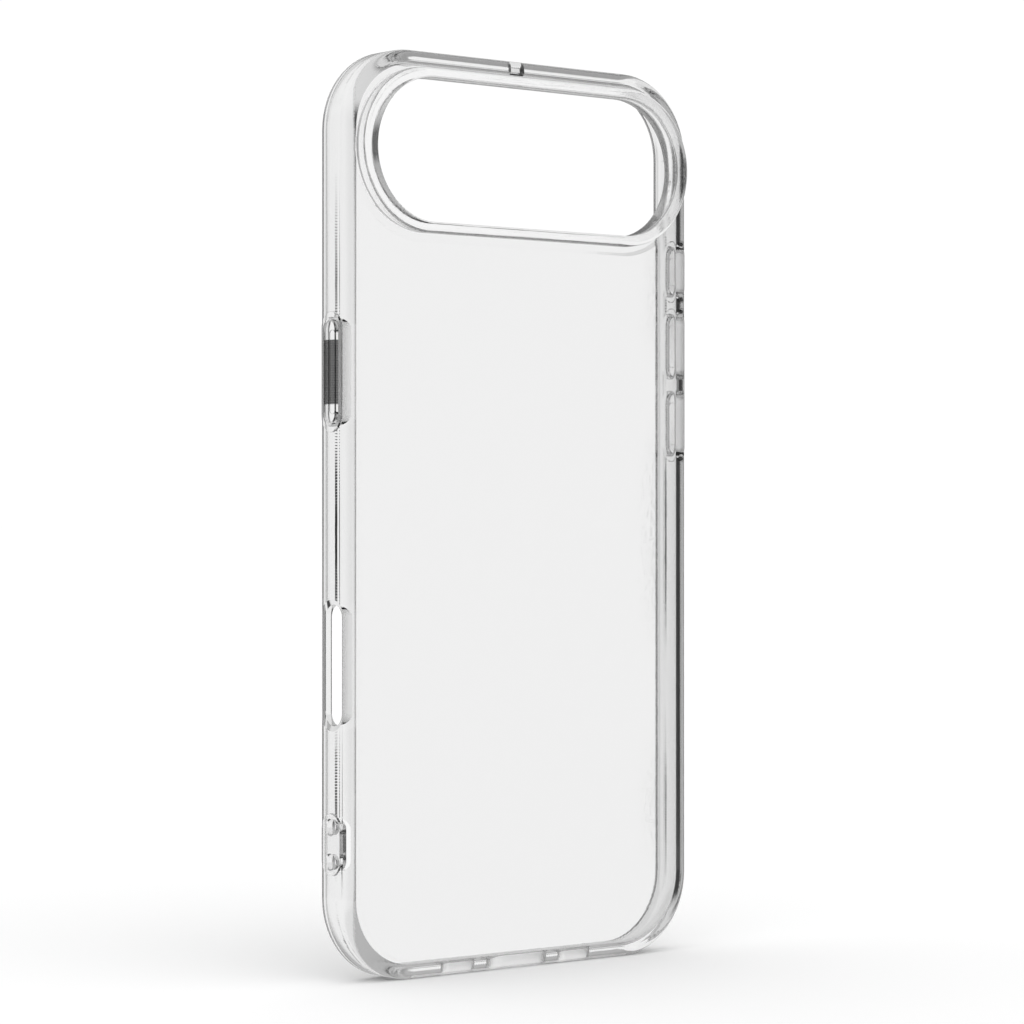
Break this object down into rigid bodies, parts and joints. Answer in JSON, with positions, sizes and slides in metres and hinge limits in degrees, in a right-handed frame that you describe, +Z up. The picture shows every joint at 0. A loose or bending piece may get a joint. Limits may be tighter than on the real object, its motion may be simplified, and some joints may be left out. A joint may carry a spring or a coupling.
{
  "type": "phone case",
  "caption": "Clear case that snaps round a large thin phone, with a raised ring round a wide camera window, press pads over the side buttons and cord holes for a lanyard.",
  "frame": {"origin": "middle of the case's footprint, on the bottom edge that it stands on", "axes": "+X to the right seen from behind, +Y from the back towards the screen side, +Z up along the case's length, with the camera window at the top"},
  "size_m": [0.0794, 0.01, 0.1596],
  "materials": {
    "clear_soft_rim": "clear, gloss",
    "clear_hard_panel": "clear, gloss, with fine dots on the inner face",
    "clear_hard_ring": "clear, gloss, with fine machining lines",
    "clear_hard_insert": "clear, satin",
    "clear_soft_button": "clear, gloss",
    "clear_soft_web": "clear, gloss"
  },
  "bodies": {
    "case": {"bumper_frame": "clear_soft_rim", "back_panel": "clear_hard_panel", "camera_ring": "clear_hard_ring", "lanyard_insert": "clear_hard_insert", "side_button_web": "clear_soft_web", "action_button_web": "clear_soft_web", "volume_up_web": "clear_soft_web", "volume_down_web": "clear_soft_web"},
    "side_button": {"side_button_pad": "clear_soft_button"},
    "action_button": {"action_button_pad": "clear_soft_button"},
    "volume_up": {"volume_up_pad": "clear_soft_button"},
    "volume_down": {"volume_down_pad": "clear_soft_button"}
  },
  "joints": [
    {"name": "side_button_press", "type": "slide", "parent": "case", "child": "side_button", "axis": [1, 0, 0], "range_m": [0, 0.0004], "stiffness_N_per_m": 4000, "deforming": ["side_button_web"]},
    {"name": "action_button_press", "type": "slide", "parent": "case", "child": "action_button", "axis": [-1, 0, 0], "range_m": [0, 0.0004], "stiffness_N_per_m": 4000, "deforming": ["action_button_web"]},
    {"name": "volume_up_press", "type": "slide", "parent": "case", "child": "volume_up", "axis": [-1, 0, 0], "range_m": [0, 0.0004], "stiffness_N_per_m": 4000, "deforming": ["volume_up_web"]},
    {"name": "volume_down_press", "type": "slide", "parent": "case", "child": "volume_down", "axis": [-1, 0, 0], "range_m": [0, 0.0004], "stiffness_N_per_m": 4000, "deforming": ["volume_down_web"]}
  ]
}
